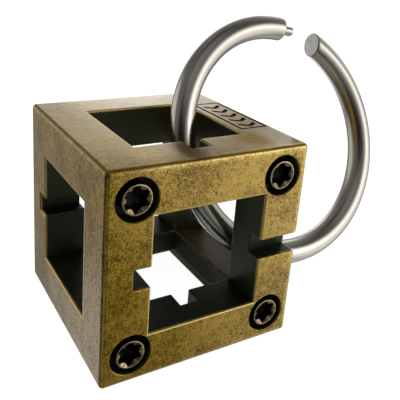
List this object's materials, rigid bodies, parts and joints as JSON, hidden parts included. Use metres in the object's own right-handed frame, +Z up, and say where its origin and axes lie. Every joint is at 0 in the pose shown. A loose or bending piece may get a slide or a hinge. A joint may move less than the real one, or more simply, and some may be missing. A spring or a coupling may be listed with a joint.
{
  "type": "metal ring disentanglement puzzle",
  "caption": "Hollow cube frame of slotted square bars with an open steel ring looped round one bar; a pin on the ring's end crosses bars only at the slots.",
  "frame": {"origin": "middle of the footprint of the whole puzzle, ring included, on the surface the cube stands on", "axes": "+Z up; -Y is the cube face with the four screws; the ring reaches out towards +X"},
  "size_m": [0.0732, 0.037, 0.0547],
  "materials": {
    "antique_brass": "antiqued brass plating, fine dark pits, edges rubbed bright",
    "screw_brass": "satin brass rim, blackened recess",
    "satin_steel": "satin, lightly brushed along the wire"
  },
  "bodies": {
    "frame": {"front_frame": "antique_brass", "rear_frame": "antique_brass", "screw_upper_left": "screw_brass", "screw_upper_right": "screw_brass", "screw_lower_left": "screw_brass", "screw_lower_right": "screw_brass"},
    "ring": {"ring": "satin_steel", "ring_pin": "satin_steel"}
  },
  "joints": [
    {"name": "ring_spin", "type": "hinge", "parent": "frame", "child": "ring", "pos_m": [0.01063, 0.00111, 0.03062], "axis": [0.0233, -0.9199, 0.3914], "continuous": true}
  ]
}
